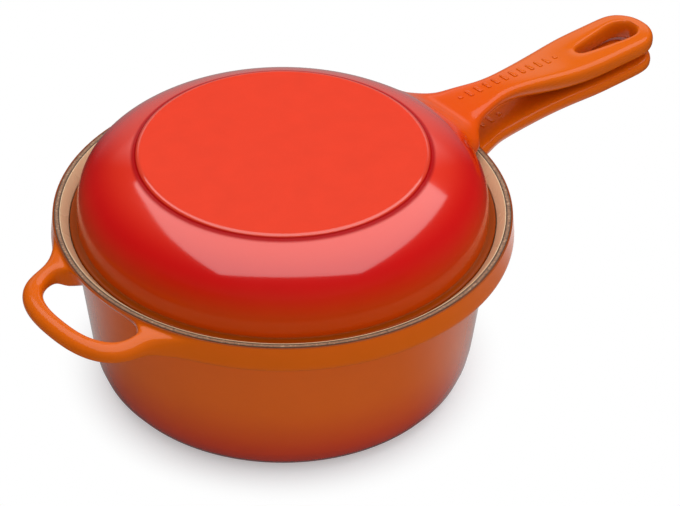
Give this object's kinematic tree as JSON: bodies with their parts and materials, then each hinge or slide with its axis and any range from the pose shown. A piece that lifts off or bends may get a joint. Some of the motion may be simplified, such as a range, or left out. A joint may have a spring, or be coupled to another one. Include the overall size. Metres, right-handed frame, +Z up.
{
  "type": "saucepan",
  "caption": "Enamelled cast-iron saucepan with a long handle and a helper loop; its lid is a shallow skillet, set upside down on the rim, with a matching long handle.",
  "frame": {"origin": "centre of the saucepan's base, on the surface that it stands on", "axes": "+Z up, +X along the two long handles, -X along the helper loop; the XZ plane is the mirror plane"},
  "size_m": [0.4115, 0.2384, 0.1327],
  "materials": {
    "orange_enamel": "cast iron with a glossy orange outer enamel",
    "red_enamel": "cast iron with a glossy red outer enamel",
    "sand_enamel": "opaque sand-coloured vitreous enamel, semi-gloss",
    "grey_ground_coat": "opaque matt grey-brown ground coat of vitreous enamel",
    "black_satin_enamel": "opaque black satin vitreous enamel"
  },
  "bodies": {
    "saucepan": {"saucepan_bowl": "orange_enamel", "saucepan_lining": "sand_enamel", "saucepan_rim_coat": "grey_ground_coat", "saucepan_handle": "orange_enamel", "helper_handle": "orange_enamel"},
    "lid_rim": {"lid_rim_coat": "grey_ground_coat"},
    "lid": {"lid_bowl": "red_enamel", "lid_lining": "black_satin_enamel", "lid_handle": "orange_enamel"}
  },
  "joints": [
    {"name": "lid_lift", "type": "slide", "parent": "saucepan", "child": "lid_rim", "axis": [0, 0, 1], "range_m": [0, 0.2]},
    {"name": "lid_turn", "type": "hinge", "parent": "lid_rim", "child": "lid", "pos_m": [0, 0, 0.089], "axis": [0, 0, 1], "continuous": true}
  ]
}
